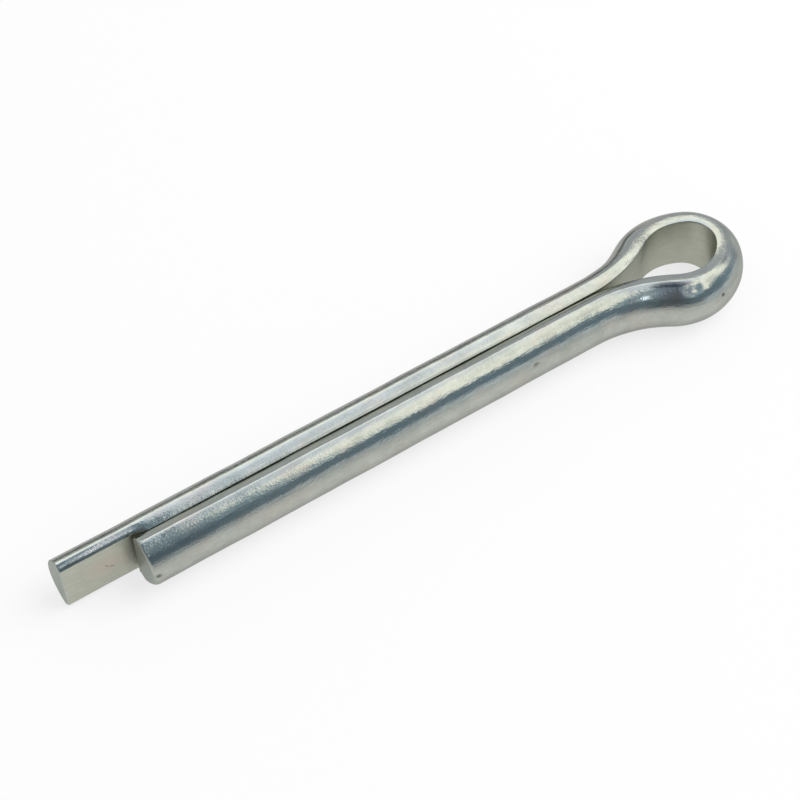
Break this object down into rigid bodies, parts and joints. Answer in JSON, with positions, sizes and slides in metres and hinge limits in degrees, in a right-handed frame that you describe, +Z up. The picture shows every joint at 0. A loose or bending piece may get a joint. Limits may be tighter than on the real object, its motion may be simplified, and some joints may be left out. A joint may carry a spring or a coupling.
{
  "type": "cotter pin",
  "caption": "Split cotter pin: half-round steel wire bent double round an eye, with flat inner faces and legs of uneven length, to lock a nut or clevis pin through its cross hole.",
  "frame": {"origin": "on the axis of the closed shank, midway between the flats of the legs, where the short leg bends out into the eye", "axes": "+X along the shank into the eye, +Y from the short leg to the long leg, +Z up, square to the level eye"},
  "size_m": [0.0436, 0.0072, 0.0034],
  "materials": {
    "wire": "bright zinc plate over drawn wire, satin to bright, finely mottled"
  },
  "bodies": {
    "root": {"cotter_pin": "wire"}
  },
  "joints": []
}
